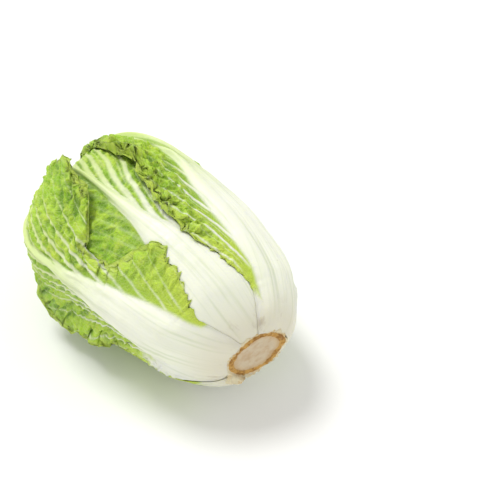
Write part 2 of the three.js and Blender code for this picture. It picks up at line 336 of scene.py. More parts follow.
@dataclass(frozen=True)
class Stretch:
    """A stretch of a leaf's length where its blade stands off.

    Attributes:
        at: Share of the head's length in the middle of the stretch.
        length: Share from the middle to each end.
        size: Rise in mm.
        half: The half of the blade that it is on, or none for both.
        side: Shares of the half width between which it rises.
    """

    at: float
    length: float
    size: float
    half: Half | None = None
    side: tuple[float, float] = (0.45, 1.1)

    def rise(self, share: Array, side: Array) -> Array:
        """Give the rise at a share along the head and a signed share of the half width."""
        along = self.size * np.maximum(0, 1 - ((share - self.at) / self.length) ** 2)
        on_half = 1.0 if self.half is None else (side > 0) == (self.half is Half.AFTER)
        return along * on_half * smoothstep(np.abs(side), *self.side)


@dataclass(frozen=True)
class Relief:
    """What covers a leaf at some places.

    Attributes:
        body: Thickness of the blade with its rib, in mm.
        raised: Height of the side veins, in mm.
        pucker: Height of the blade's puckers and wrinkles, in mm.
        white: How much white rib or vein covers the green, from 0 to 1.
    """

    body: Array
    raised: Array
    pucker: Array
    white: Array


@dataclass(frozen=True)
class Leaf:
    """One leaf: where it grows, its outline and its relief. Angles are in degrees, sizes in mm.

    Attributes:
        name: Name of the piece and of the frame's node.
        angle: Turn of the rib round the head from the top towards -Y.
        drift: How far the rib has turned at the tip.
        bends: Shares between which the rib turns.
        reach: Share of the way to the tip's pole.
        seed: Seed of all that is random in the leaf.
        edges: The edges before and after the rib.
        rib: Half width of the rib, by share.
        flutes: Depth of the grooves along the rib.
        stout: Scale of the rib's height.
        vein_width: Half width of a vein where it leaves the rib.
        stands: Where the blade stands off the head.
        rows: Faces along the leaf.
        columns: Faces across the leaf.
    """

    name: str
    angle: float
    drift: float
    reach: float
    seed: int
    edges: tuple[Edge, Edge] = (Edge(), Edge())
    rib: Table = ((0, 25), (0.08, 31), (0.16, 33), (0.31, 27), (0.47, 17), (0.7, 7), (1, 3))
    flutes: float = 0.4
    stout: float = 1.0
    vein_width: float = 3.0
    stands: tuple[Stretch, ...] = ()
    bends: tuple[float, float] = (0.1, 1)
    rows: int = 200
    columns: int = 110

    # Heights of the rib, and thicknesses of the blade at its root and further on.
    RIB_HEIGHT = ((0, 0.4), (0.06, 3.6), (0.15, 7.4), (0.35, 7.6), (0.5, 6), (0.75, 3.4), (1, 1))
    ROOT_BLADE = 1.6
    BLADE = 1.0
    # Outline: how early the tip rounds off, waves and teeth along the edge, and where their noise is read.
    TIP_ROUNDING = 0.22
    WAVE = 3.5
    WAVE_LENGTH = 31
    TOOTH = 12.0
    TOOTH_PITCH = 9.0
    SECOND_TEETH = 1.63
    EDGE_LANE = 40.0
    # Side veins: distance between them, how they part from the rib, and their half width far from it.
    VEIN_PITCH = 30
    VEIN_SPREAD = 0.05
    VEIN_BEND = 1.4
    VEIN_END = 0.75
    # For each set of veins: its shift in pitches, where it starts, its width and its height.
    VEIN_SETS = ((0.0, 0.0, 1.0, 1), (0.5, 8.0, 0.5, 0.6), (0.26, 26.0, 0.4, 0.4))
    # Puckers: size of their cells, heights of net, wrinkles, creases and swell, and the lowest place.
    CELL = 7.5
    NET = (1.1, 2.0)
    WRINKLE = 1.5
    CREASE = 0.4
    SWELL = 0.9
    LOWEST = -0.6
    # Width of the ruffled band along the edge.
    EDGE_BAND = 28

    @staticmethod
    def table(pairs: Table, share: Array) -> Array:
        """Read a table of (share, value) pairs, with eased joins between them."""
        shares, values = zip(*pairs)
        fine = np.linspace(0, 1, 801)
        rough = np.interp(fine, shares, values)
        pad = 9
        padded = np.pad(rough, pad, mode="edge")
        kernel = np.hanning(2 * pad + 1)
        return np.interp(share, fine, np.convolve(padded, kernel / kernel.sum(), mode="valid"))

    def ripple(self, grain: float, number: int, x: Array, y: Array) -> Array:
        """Give one of the leaf's own noises at places in mm."""
        return Ripples(grain, self.seed + number).at(x, y)

    def of_edge(self, name: str, share: Array, after: Array) -> Array:
        """Read one of the edges' tables on the half where each place is."""
        before_table, after_table = (getattr(edge, name) for edge in self.edges)
        return np.where(after, self.table(after_table, share), self.table(before_table, share))

    def rib_angle(self, share: Array) -> Array:
        """Turn of the rib's middle line, in radians."""
        return np.radians(self.angle + self.drift * smoothstep(share, *self.bends))

    def slope(self, head: Head, share: Array, after: Array) -> Array:
        """How much wider the leaf gets with each mm from the root, without its waves and teeth."""
        step = 0.004
        wider = self.of_edge("width", share + step, after) - self.of_edge("width", share - step, after)
        return wider / (2 * step * head.length)

    def half_width(self, head: Head, share: Array, after: Array) -> Array:
        """Width from the rib's middle to the edge.

        Args:
            head: The head that the leaf lies on.
            share: Share along the head.
            after: Whether each place is on the half after the rib.

        Returns:
            The half width in mm, with its waves and teeth.
        """
        width = self.of_edge("width", share, after)
        lane = np.where(after, self.EDGE_LANE, -self.EDGE_LANE)
        travelled = share * head.length
        wave = self.ripple(self.WAVE_LENGTH, 1, travelled, lane)
        tooth_size = 0.55 + 0.45 * self.ripple(29, 2, travelled, lane)
        pitch = travelled + 3.0 * self.ripple(23, 3, travelled, lane)
        tooth = (np.abs((pitch / self.TOOTH_PITCH) % 1 - 0.5) * 2) ** 1.5
        second = np.abs((pitch / self.TOOTH_PITCH * self.SECOND_TEETH + 0.3) % 1 - 0.5) * 2
        teeth = self.TOOTH * tooth_size * (0.7 * tooth + 0.3 * second - 0.5) * smoothstep(share, 0.06, 0.2)
        rough = self.WAVE * wave * smoothstep(share, 0.15, 0.4) + teeth
        return width + rough / (1 + self.slope(head, share, after) ** 2)

    def tip(self, head: Head, side: Array) -> Array:
        """Distance from the butt to the tip's edge in mm, at a share of the half width."""
        rounding = self.TIP_ROUNDING * (1 - np.sqrt(np.maximum(0, 1 - side**2)))
        wave = Ripples(0.5, self.seed + 4, 6).at(side, np.zeros_like(side))
        teeth = Ripples(0.12, self.seed + 5, 6).at(side, np.zeros_like(side))
        return self.reach * head.length * (1 - rounding) + 4.0 * wave + 2.5 * teeth

    def across(self, head: Head, share: Array, angle: Array) -> Array:
        """Distance in mm across the leaf from the rib's middle, more than 0 after the rib."""
        rib = self.rib_angle(share)
        turn = np.arctan2(np.sin(angle - rib), np.cos(angle - rib))
        return turn * head.reference(share)

    def inside(self, head: Head, share: Array, angle: Array) -> Array:
        """How far inside the leaf's outline a place is, in mm; less than 0 is outside."""
        across = self.across(head, share, angle)
        width = self.half_width(head, share, across > 0)
        side = across / width
        return np.minimum((1 - np.abs(side)) * width, self.tip(head, side) - share * head.length)

    def veins(self, travelled: Array, across: Array, rib: Array) -> tuple[Array, Array]:
        """Trace the side veins, which leave the rib towards the tip and bend outwards.

        Args:
            travelled: Distance from the butt in mm.
            across: Distance across from the rib's middle in mm.
            rib: Half width of the rib in mm.

        Returns:
            Height of the veins and of the blade's swell between them, each from 0 to 1.
        """
        out = np.maximum(np.abs(across) - 0.62 * rib, 0.02)
        sway = 2.4 * self.ripple(46, 6, travelled, across)
        sway += 0.7 * self.ripple(15, 16, travelled, across)
        start = travelled - (out / self.VEIN_SPREAD) ** (1 / self.VEIN_BEND) + sway
        start += np.where(across > 0, 0.45 * self.VEIN_PITCH, 0)
        slope = self.VEIN_SPREAD * self.VEIN_BEND
        slope = slope * (out / self.VEIN_SPREAD) ** ((self.VEIN_BEND - 1) / self.VEIN_BEND)
        foreshort = slope / np.sqrt(1 + slope**2)
        total = np.zeros(np.broadcast(travelled, across).shape)
        for number, (shift, first, width, rise) in enumerate(self.VEIN_SETS):
            count = start / self.VEIN_PITCH + shift
            vein = np.round(count)
            jitter = 0.17 * np.sin(vein * 12.9 + np.sign(across) * 50.0 + self.seed + number)
            gap = np.abs(count - vein - jitter) * self.VEIN_PITCH * foreshort
            half = width * mix(self.vein_width, self.VEIN_END, smoothstep(out, 0, 60))
            there = smoothstep(out, first, first + 8) if first else 1.0
            total = np.maximum(total, np.exp(-((gap / half) ** 2)) * there * rise)
        swell = np.sin(math.pi * start / self.VEIN_PITCH) ** 2 * smoothstep(out, 6, 24)
        return total, swell

    def crumple(self, travelled: Array, across: Array, swell: Array) -> Array:
        """Shape the blade's puckers: a raised net, wrinkles, creases and the swell between veins.

        Args:
            travelled: Distance from the butt in mm.
            across: Distance across from the rib's middle in mm.
            swell: The swell between the veins, from 0 to 1.

        Returns:
            Heights in mm.
        """
        warp = 2.5 * self.ripple(19, 10, travelled, across)
        shear = travelled - 0.5 * np.abs(across)
        gap, own = Cells(self.CELL, self.seed + 11).at(shear * 1.1 + warp, across * 0.75 + warp * 0.6)
        net = 1 - smoothstep(gap, 0.02, 0.42)
        wrinkle = 1 - 2 * np.abs(self.ripple(21, 12, shear * 1.2, across * 0.7))
        crease = self.ripple(7, 13, travelled, across)
        form = mix(*self.NET, own) * (net - 0.35) + self.WRINKLE * wrinkle
        return form + self.CREASE * crease + self.SWELL * swell

    def relief(self, head: Head, share: Array, across: Array) -> Relief:
        """Work out the leaf's thickness and its whites at places on it.

        Args:
            head: The head that the leaf lies on.
            share: Share along the head.
            across: Distance across from the rib's middle in mm.

        Returns:
            The relief at each place.
        """
        travelled = share * head.length
        rib_width = self.table(self.rib, share)
        border = 1 + 0.04 * self.ripple(40, 7, travelled, across)
        rib_share = np.abs(across) / (rib_width * border)
        rib = self.stout * self.table(self.RIB_HEIGHT, share) * smoothstep(rib_share, 1.2, 0.3)
        sway = 0.8 * self.ripple(120, 8, travelled, across)
        groove = np.cos(across / np.maximum(rib_width, 9) * 9.5 + sway)
        thread = np.cos(across * 2.1 + 2 * sway)
        fluted = smoothstep(share, 0.04, 0.16) * smoothstep(rib_share, 1.1, 0.7)
        rib += fluted * (self.flutes * groove + 0.10 * thread)
        vein, swell = self.veins(travelled, across, rib_width)
        vein *= smoothstep(share, 0.10, 0.24) * self.of_edge("veined", share, across > 0)
        raised = smoothstep(rib_share, 0.75, 1.25) * vein * mix(1.5, 0.8, smoothstep(np.abs(across), 10, 80))
        on_blade = smoothstep(rib_share, 1.1, 1.7) * smoothstep(share, 0.08, 0.26)
        on_blade *= smoothstep(head.outline(head.radius, share), 5, 40)
        pucker = self.crumple(travelled, across, swell) * self.of_edge("crinkle", share, across > 0)
        pucker *= on_blade * (1 - 0.75 * vein)
        blade = mix(self.ROOT_BLADE, self.BLADE, smoothstep(share, 0, 0.12))
        lines = vein * smoothstep(share, 0.08, 0.18) * mix(1.0, 0.62, smoothstep(np.abs(across), 15, 65))
        split = 0.6 * smoothstep(share, 0.42, 0.66) * smoothstep(groove, 0.0, -0.9)
        white = np.maximum(smoothstep(rib_share, 1.12, 0.8) * (1 - split), lines)
        bare = np.where(across > 0, self.edges[1].bare, self.edges[0].bare)
        bare += 0.016 * self.ripple(11, 14, travelled * 0.4, across)
        white = np.maximum(white, smoothstep(share - bare, 0.25 * bare, -0.2 * bare))
        return Relief(blade + rib, raised, np.maximum(pucker, self.LOWEST), white)


class Layers:
    """The heights of all layers over the head's surface, on one fine lattice.

    Attributes:
        head: The head's surface.
        heights: Height of the outermost layer so far, in mm.
    """

    ROWS = 480
    COLUMNS = 720
    STRIDES = (14, 14, 10, 10, 7, 7, 5, 5, 3, 3)
    CREST_REACH = (1, 2, 3)
    CREST_PASSES = 8

    def __init__(self, head: Head) -> None:
        """Start with the bare core of a head."""
        self.head = head
        self.share = np.linspace(0, 1, self.ROWS + 1)[:, None]
        self.angle = (np.arange(self.COLUMNS) / self.COLUMNS * TURN)[None, :]
        self.heights = np.zeros((self.ROWS + 1, self.COLUMNS))

    def drape(self, gap: float) -> Array:
        """Draw a sheet over the heights.

        Args:
            gap: Least clearance in mm.

        Returns:
            The sheet's heights: clear of all that is under it, and smooth in between.
        """
        lowest = self.heights + gap
        over = lowest.copy()
        for stride in self.STRIDES:
            over = np.maximum(lowest, sum(self.neighbours(over, stride)) / 4)
        for stride in self.CREST_REACH:
            over = np.maximum.reduce([over, *self.neighbours(over, stride)])
        for _ in range(self.CREST_PASSES):
            over = (over + sum(self.neighbours(over, 1)) / 4) / 2
        return over

    @staticmethod
    def neighbours(values: Array, stride: int) -> tuple[Array, Array, Array, Array]:
        """Give a map's values some steps towards the root, the tip and round both ways."""
        padded = np.pad(values, ((stride, stride), (0, 0)), mode="edge")
        before, after = padded[: -2 * stride], padded[2 * stride :]
        return before, after, np.roll(values, stride, axis=1), np.roll(values, -stride, axis=1)

    def read(self, values: Array, share: Array, angle: Array) -> Array:
        """Read a map of the lattice at any places."""
        return read_table(values, np.clip(share, 0, 1) * self.ROWS, (angle / TURN) % 1 * self.COLUMNS)

    def lay(self, leaf: Leaf, gap: float) -> Sheet:
        """Lay a leaf over the heights.

        Args:
            leaf: The leaf.
            gap: Clearance under it in mm.

        Returns:
            The laid leaf.
        """
        under, ground = self.drape(gap), self.heights
        inside = leaf.inside(self.head, self.share, self.angle)
        across = leaf.across(self.head, self.share, self.angle)
        body = leaf.relief(self.head, np.broadcast_to(self.share, across.shape), across).body
        self.heights = mix(ground, under + body, smoothstep(inside, -2, 12))
        return Sheet(leaf, under, ground, inside, np.zeros_like(inside))


@dataclass
class Sheet:
    """A leaf that has been laid, with the maps that its mesh is drawn from.

    Attributes:
        leaf: The leaf.
        under: Heights of the sheet that it follows, in mm.
        ground: Heights that it was laid over, which its edges rest on, in mm.
        inside: How far inside its outline each place is, in mm.
        cover: How much later leaves cover each place, from 0 to 1.
    """

    leaf: Leaf
    under: Array
    ground: Array
    inside: Array
    cover: Array


WRAPPER_GAP = 1.2
EDGE_GAP = 0.3
LOOSE = Edge(frill=((0, 0), (0.2, 2), (0.5, 5), (1, 6)), curl=((0, 0), (0.3, 30), (0.6, 70), (1, 90)))
CALM = Edge(frill=((0, 0), (0.2, 1), (1, 3)), curl=((0, 0), (0.3, 10), (1, 50)))
FAINT = Edge(
    frill=CALM.frill, curl=CALM.curl, veined=((0, 0.35), (0.6, 0.35), (0.8, 0.8), (1, 1)),
    crinkle=((0, 0.5), (0.45, 0.5), (0.6, 1), (1, 1)),
)
TIGHT = Edge(frill=((0, 0), (1, 2)), curl=((0, 0), (1, 12)))

INNER_LEAVES = (
    Leaf("inner_1", 160, 20, 0.995, 101, (TIGHT, TIGHT)),
    Leaf("inner_2", 20, -25, 0.99, 131, (TIGHT, TIGHT)),
    Leaf("inner_3", -80, 15, 0.98, 161, (TIGHT, TIGHT)),
    Leaf("inner_4", 70, 20, 0.97, 191, (TIGHT, TIGHT)),
    Leaf("inner_5", 210, -15, 0.965, 221, (TIGHT, TIGHT)),
)
WRAPPER_LEAVES = (
    Leaf("leaf_low_front", 134, 4, 0.93, 11, (TIGHT, LOOSE)),
    Leaf("leaf_low_back", -106, -4, 0.94, 41, (LOOSE, CALM)),
    Leaf(
        "leaf_top", 21, 4, 0.965, 71, (CALM, FAINT), flutes=0.3, rows=290, columns=165,
        rib=(
            (0, 20), (0.04, 26), (0.08, 30), (0.13, 31), (0.22, 27), (0.29, 22), (0.36, 17), (0.43, 10.5),
            (0.48, 7.5), (0.55, 5.6), (0.6, 4), (0.7, 2.8), (1, 2),
        ),
    ),
    Leaf("leaf_under", 181, -2, 0.9, 251, (CALM, CALM)),
    Leaf(
        "leaf_back", -40, 18, 0.94, 281, flutes=1.6, stout=1.6, vein_width=2.1, bends=(0.4, 0.85),
        rows=290, columns=165,
        rib=(
            (0, 22), (0.03, 25), (0.11, 25), (0.18, 27), (0.26, 31), (0.34, 30), (0.42, 29), (0.49, 23),
            (0.56, 13), (0.64, 6), (0.7, 3.8), (1, 2),
        ),
        edges=(
            Edge(
                frill=LOOSE.frill, curl=LOOSE.curl, bare=0.25,
                veined=((0, 1), (0.5, 1), (0.62, 0.55), (1, 0.6)),
            ),
            Edge(
                width=(
                    (0, 21.8), (0.02, 26), (0.06, 29), (0.11, 29), (0.13, 31), (0.19, 44), (0.26, 54),
                    (0.3, 59), (0.36, 63), (0.43, 66), (0.5, 61), (0.56, 58), (0.6, 49), (0.7, 43),
                    (0.8, 43), (0.9, 47), (1, 43),
                ),
                frill=((0, 0), (0.1, 0.5), (0.3, 2.4), (0.5, 4), (0.58, 8), (0.7, 7), (0.76, 2), (1, 2)),
                curl=((0, 0), (0.3, 4), (0.5, 8), (0.58, 20), (0.7, 24), (0.76, 5), (1, 5)),
                veined=((0, 1), (0.48, 1), (0.6, 0.42), (1, 0.5)),
                crinkle=((0, 1.3), (0.3, 1.7), (0.5, 2.1), (1, 2.1)),
            ),
        ),
    ),
    Leaf(
        "leaf_front", 76, 6, 0.925, 311, flutes=1.0, vein_width=1.8, rows=290, columns=165,
        rib=(
            (0, 20), (0.04, 26), (0.08, 29), (0.16, 27.5), (0.27, 25), (0.38, 20), (0.47, 14), (0.56, 8),
            (0.62, 5), (0.7, 3), (1, 2),
        ),
        edges=(
            Edge(
                width=(
                    (0, 20), (0.04, 27), (0.08, 30), (0.13, 31.5), (0.17, 39), (0.22, 48), (0.29, 58),
                    (0.35, 65), (0.39, 62), (0.41, 50), (0.43, 34), (0.45, 27), (0.5, 26), (0.535, 31),
                    (0.555, 41), (0.58, 61), (0.6, 70), (0.7, 78), (0.8, 84), (0.9, 84), (1, 80),
                ),
                frill=((0, 0), (0.15, 0.5), (0.36, 0.6), (0.5, 0.6), (0.56, 4), (0.6, 6), (1, 6)),
                curl=((0, 0), (0.36, 0), (0.52, 0), (0.58, 35), (0.75, 50), (1, 40)),
                veined=((0, 0.7), (0.2, 0.7), (0.3, 0.5), (0.42, 0.6), (0.52, 1), (1, 1)),
                crinkle=((0, 0.4), (0.36, 0.55), (0.5, 1.2), (1, 1.2)),
            ),
            Edge(
                width=(
                    (0, 26), (0.04, 38), (0.08, 50), (0.13, 58), (0.19, 62), (0.28, 60), (0.4, 60), (0.5, 68),
                    (0.58, 74), (0.66, 68), (0.72, 54), (0.8, 48), (0.9, 46), (1, 44),
                ),
                frill=((0, 0), (0.2, 0.5), (0.4, 4), (0.5, 7), (0.64, 7), (0.72, 2), (1, 2)),
                curl=((0, 0), (0.25, 5), (0.45, 40), (0.65, 50), (0.74, 12), (1, 10)),
                bare=0.25,
            ),
        ),
        stands=(Stretch(0.56, 0.17, 13, Half.AFTER), Stretch(0.83, 0.26, 9, None, (-1, -0.5))),
    ),
)


def colour(code: str) -> tuple[float, float, float, float]:
    """Turn a hex colour as seen on a screen into the linear colour that a shader takes."""
    parts = [int(code[start : start + 2], 16) / 255 for start in (0, 2, 4)]
    linear = [part / 12.92 if part <= 0.04045 else ((part + 0.055) / 1.055) ** 2.4 for part in parts]
    return (linear[0], linear[1], linear[2], 1.0)


class Signal:
    """A value in a shader, which Python's operators act on through Math nodes."""

    def __init__(self, shader: Shader, socket: bpy.types.NodeSocket) -> None:
        """Hold the output that carries the value."""
        self.shader = shader
        self.socket = socket

    def math(self, operation: str, *values: Signal | float) -> Signal:
        """Add a Math node on some values, in order."""
        return self.shader.signal("ShaderNodeMath", {"operation": operation}, dict(enumerate(values)))

    def __add__(self, other: Signal | float) -> Signal:
        """Add."""
        return self.math("ADD", self, other)

    __radd__ = __add__

    def __sub__(self, other: Signal | float) -> Signal:
        """Subtract."""
        return self.math("SUBTRACT", self, other)

    def __rsub__(self, other: Signal | float) -> Signal:
        """Subtract this from a number."""
        return self.math("SUBTRACT", other, self)

    def __mul__(self, other: Signal | float) -> Signal:
        """Multiply."""
        return self.math("MULTIPLY", self, other)

    def ease(self, low: float, high: float) -> Signal:
        """Ease from 0 at low to 1 at high."""
        sockets = {"Value": self, "From Min": low, "From Max": high}
        return self.shader.signal("ShaderNodeMapRange", {"interpolation_type": "SMOOTHSTEP"}, sockets)


class Shader:
    """A material's node tree."""

    def __init__(self, name: str) -> None:
        """Start an empty material."""
        self.material = bpy.data.materials.new(name)
        self.material.use_nodes = True
        self.tree = self.material.node_tree
        self.tree.nodes.clear()

    def add(self, kind: str, settings: dict[str, Any], sockets: dict[str | int, Any]) -> bpy.types.Node:
        """Add a node.

        Args:
            kind: The node's type.
            settings: Its settings, which are set before its sockets.
            sockets: Values, hex colours or signals for its inputs, by name or place.

        Returns:
            The node.
        """
        node = self.tree.nodes.new(kind)
        for name, value in settings.items():
            setattr(node, name, value)
        for name, value in sockets.items():
            if isinstance(value, Signal):
                self.tree.links.new(value.socket, node.inputs[name])
            else:
                node.inputs[name].default_value = colour(value) if isinstance(value, str) else value
        return node

    def signal(
        self, kind: str, settings: dict[str, Any], sockets: dict[str | int, Any], output: str | int = 0
    ) -> Signal:
        """Add a node and give one of its outputs as a signal."""
        return Signal(self, self.add(kind, settings, sockets).outputs[output])

    def attribute(self, name: str, output: str = "Fac") -> Signal:
        """Read a piece's own attribute."""
        return self.signal("ShaderNodeAttribute", {"attribute_name": name}, {}, output)

    def blend(self, mask: Signal, low: Signal | str, high: Signal | str) -> Signal:
        """Blend two colours, by the second one's share."""
        sockets = {0: mask, 6: low, 7: high}
        return self.signal("ShaderNodeMix", {"data_type": "RGBA", "clamp_factor": True}, sockets, 2)

    def stretched(self, place: Signal, scale: tuple[float, float, float]) -> Signal:
        """Scale a place along each axis."""
        return self.signal("ShaderNodeMapping", {}, {"Vector": place, "Scale": scale})

    def noise(self, place: Signal, scale: float, detail: float = 3, roughness: float = 0.5) -> Signal:
        """Read noise at a place, with a scale in features per metre."""
        sockets = {"Vector": place, "Scale": scale, "Detail": detail, "Roughness": roughness}
        return self.signal("ShaderNodeTexNoise", {}, sockets)

    def cells(self, place: Signal, scale: float, randomness: float, feature: str) -> Signal:
        """Read a distance in a pattern of cells, with a scale in cells per metre."""
        sockets = {"Vector": place, "Scale": scale, "Randomness": randomness}
        return self.signal("ShaderNodeTexVoronoi", {"feature": feature}, sockets)

    def bump(self, height: Signal, strength: float, distance: float) -> Signal:
        """Turn heights into a normal. The distance is in metres."""
        sockets = {"Strength": strength, "Distance": distance, "Height": height}
        return self.signal("ShaderNodeBump", {}, sockets)

    def finish(self, sockets: dict[str | int, Any]) -> bpy.types.Material:
        """Give the material its surface, with the values of the shader's sockets."""
        surface = self.add("ShaderNodeBsdfPrincipled", {}, sockets)
        output = self.add("ShaderNodeOutputMaterial", {}, {})
        self.tree.links.new(surface.outputs[0], output.inputs[0])
        return self.material


@dataclass(frozen=True)
class LeafFinish:
    """Skin of a leaf: green blade with paler veins, painted shade in its low places, and a white rib.

    Attributes:
        name: Name of the material.
        pale: Colour of the blade's lightest parts.
        fresh: Colour of most of the blade.
        deep: Colour of the blade's older patches.
        fold: Colour down in the puckers.
        vein: Colour of the veins.
        rib: Colour of the rib.
        shade: Colour of the rib's greener streaks.
        speck: Colour of the dried specks on the rib.
        root: Colour of the leaf's base at the cut.
    """

    name: str = "leaf"
    pale: str = "cfe550"
    fresh: str = "b3d93b"
    # fold: Colour of the painted shade down in the puckers, creases and ruffle valleys.
    deep: str = "97c629"
    fold: str = "548508"
    vein: str = "d2e294"
    rib: str = "f0f2e0"
    shade: str = "ced8b4"
    speck: str = "8a6a3c"
    root: str = "ddd6c0"

    def make(self) -> bpy.types.Material:
        """Build the material."""
        shader = Shader(self.name)
        place = shader.attribute("place", "Vector")
        white, fold = shader.attribute("white"), shader.attribute("fold")
        edge, along = shader.attribute("edge"), shader.attribute("along")
        patches = shader.noise(place, 22, 2)
        mottle = shader.noise(place, 130, 4, 0.6)
        threads = 1 - shader.cells(place, 330, 0.9, "DISTANCE_TO_EDGE").ease(0.0, 0.16)
        blade = shader.blend(patches.ease(0.38, 0.66), self.fresh, self.deep)
        blade = shader.blend(mottle.ease(0.42, 0.7) * 0.6, blade, self.pale)
        # Painted shade: the blade darkens towards the fold colour where it lies low, in puckers and ruffle
        # valleys; less at the edge.
        blade = shader.blend(fold.ease(0.25, 1.0) * (0.85 - edge * 0.6), blade, self.fold)
        blade = shader.blend(edge * 0.5, blade, self.pale)
        blade = shader.blend(threads * 0.22, blade, self.vein)
        young = 1 - along.ease(0.12, 0.5)
        blade = shader.blend(young * 0.7, blade, self.pale)
        streaks = shader.noise(shader.stretched(place, (260, 9, 1)), 1, 3)
        rib = shader.blend(streaks.ease(0.48, 0.78) * 0.7, self.rib, self.shade)
        spots = shader.cells(place, 62, 1.0, "F1")
        seldom = shader.noise(place, 14, 1).ease(0.5, 0.58)
        rib = shader.blend((1 - spots.ease(0.03, 0.09)) * seldom * 0.7, rib, self.speck)
        rib = shader.blend((1 - along.ease(0.0, 0.14)) * 0.8, rib, self.root)
        stain = shader.noise(shader.stretched(place, (90, 45, 1)), 1, 4, 0.6).ease(0.56, 0.72)
        rib = shader.blend(stain * (1 - along.ease(0.02, 0.1)) * 0.4, rib, self.speck)
        rib = shader.blend(along.ease(0.35, 0.75), rib, self.vein)
        base = shader.blend(white.ease(0.15, 0.9), blade, rib)
        crumple = shader.noise(place, 260, 4, 0.65)
        grain = shader.noise(place, 900, 2) * 0.3 + threads * -0.5 + crumple * 2.6
        return shader.finish(
            {
                "Base Color": base,
                "Roughness": 0.5 - white * 0.13 + mottle * 0.06,
                "Normal": shader.bump(grain * (1 - white * 0.9), 0.8, 0.001),
                "Subsurface Weight": 0.3,
                "Subsurface Radius": (1.0, 1.0, 0.45),
                "Subsurface Scale": 0.004,
                "Specular IOR Level": 0.45,
            }
        )


@dataclass(frozen=True)
class StemFinish:
    """Cut stem: pale pith, a healed brown ring and cream remains of leaf bases.

    Attributes:
        name: Name of the material.
        pith: Colour of the cut face.
        warm: Colour of the pith's warmer patches.
        healed: Colour of the healed ring.
        rust: Colour of the ring's darkest parts.
        dried: Colour of the dried leaf bases.
    """

    name: str = "stem"
    pith: str = "d0bfa2"
    warm: str = "c4a985"
    healed: str = "c79a4c"
    rust: str = "9a6a22"
    dried: str = "ded3b0"

    def make(self) -> bpy.types.Material:
        """Build the material."""
        shader = Shader(self.name)
        place = shader.signal("ShaderNodeTexCoord", {}, {}, "Object")
        ring, outer = shader.attribute("ring"), shader.attribute("outer")
        patches, grain = shader.noise(place, 90, 4, 0.6), shader.noise(place, 520, 3)
        pith = shader.blend(patches.ease(0.4, 0.7), self.pith, self.warm)
        pith = shader.blend(shader.attribute("near") * 0.4, pith, self.healed)
        dried = shader.blend(patches.ease(0.44, 0.68) * 0.75, self.dried, self.healed)
        base = shader.blend(outer, pith, dried)
        brown = shader.blend((patches + grain * 0.4).ease(0.6, 0.85), self.healed, self.rust)
        base = shader.blend((ring + (patches - 0.5) * 0.9).ease(0.3, 0.62), base, brown)
        return shader.finish(
            {
                "Base Color": base,
                "Roughness": 0.62 + grain * 0.12,
                "Normal": shader.bump(grain + patches * 0.6, 0.6, 0.0008),
                "Subsurface Weight": 0.15,
                "Subsurface Radius": (1.0, 0.8, 0.5),
                "Subsurface Scale": 0.003,
            }
        )


@dataclass(frozen=True)
class FloorFinish:
    """Plain matt floor.

    Attributes:
        name: Name of the material.
        tone: Colour of the floor.
    """

    name: str = "floor"
    tone: str = "f7f7f5"

    def make(self) -> bpy.types.Material:
        """Build the material."""
        shader = Shader(self.name)
        return shader.finish({"Base Color": self.tone, "Roughness": 0.8, "Specular IOR Level": 0.1})


def deselect() -> None:
    """Leave nothing selected."""
    bpy.ops.object.select_all(action="DESELECT")


def vertices(piece: bpy.types.Object) -> Array:
    """Read a mesh's points in its own units."""
    flat = np.empty(len(piece.data.vertices) * 3, np.float32)
    piece.data.vertices.foreach_get("co", flat)
    return flat.reshape(-1, 3).astype(float)


def move_vertices(piece: bpy.types.Object, points: Array) -> None:
    """Move a mesh's vertices to points in mm, and none of them under the floor."""
    points[:, 2] = np.maximum(points[:, 2], 0)
    piece.data.vertices.foreach_set("co", (points * MM).astype(np.float32).ravel())
    piece.data.update()


def add_ball(name: str, rings: int, segments: int) -> tuple[bpy.types.Object, Array, Array]:
    """Add a sphere to shape a closed piece from.

    Args:
        name: Name of the piece.
        rings: Rings from pole to pole.
        segments: Segments round the sphere.

    Returns:
        The sphere, and for each vertex its share of the way from pole to pole and its turn.
    """
    deselect()
    bpy.ops.mesh.primitive_uv_sphere_add(segments=segments, ring_count=rings, radius=1)
    piece = bpy.context.object
    piece.name = name
    places = vertices(piece)
    share = np.arccos(np.clip(-places[:, 2], -1, 1)) / math.pi
    return piece, share, -np.arctan2(places[:, 1], places[:, 0])


def store(piece: bpy.types.Object, name: str, values: Array) -> None:
    """Store a number or a vector for each vertex.

    Args:
        piece: The mesh's object.
        name: Name of the attribute.
        values: One row for each vertex.
    """
    vector = values.ndim == 2
    attribute = piece.data.attributes.new(name, "FLOAT_VECTOR" if vector else "FLOAT", "POINT")
    attribute.data.foreach_set("vector" if vector else "value", values.astype(np.float32).ravel())


def dress(piece: bpy.types.Object, material: bpy.types.Material, node: str) -> None:
    """Give a finished piece its material and its place in the frame.

    Args:
        piece: The piece.
        material: Its material.
        node: The frame's node that it stands for.
    """
    piece.data.materials.clear()
    piece.data.materials.append(material)
    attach(piece, "root")
    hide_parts(node)
    LOG.info("%s: %d vertices", piece.name, len(piece.data.vertices))


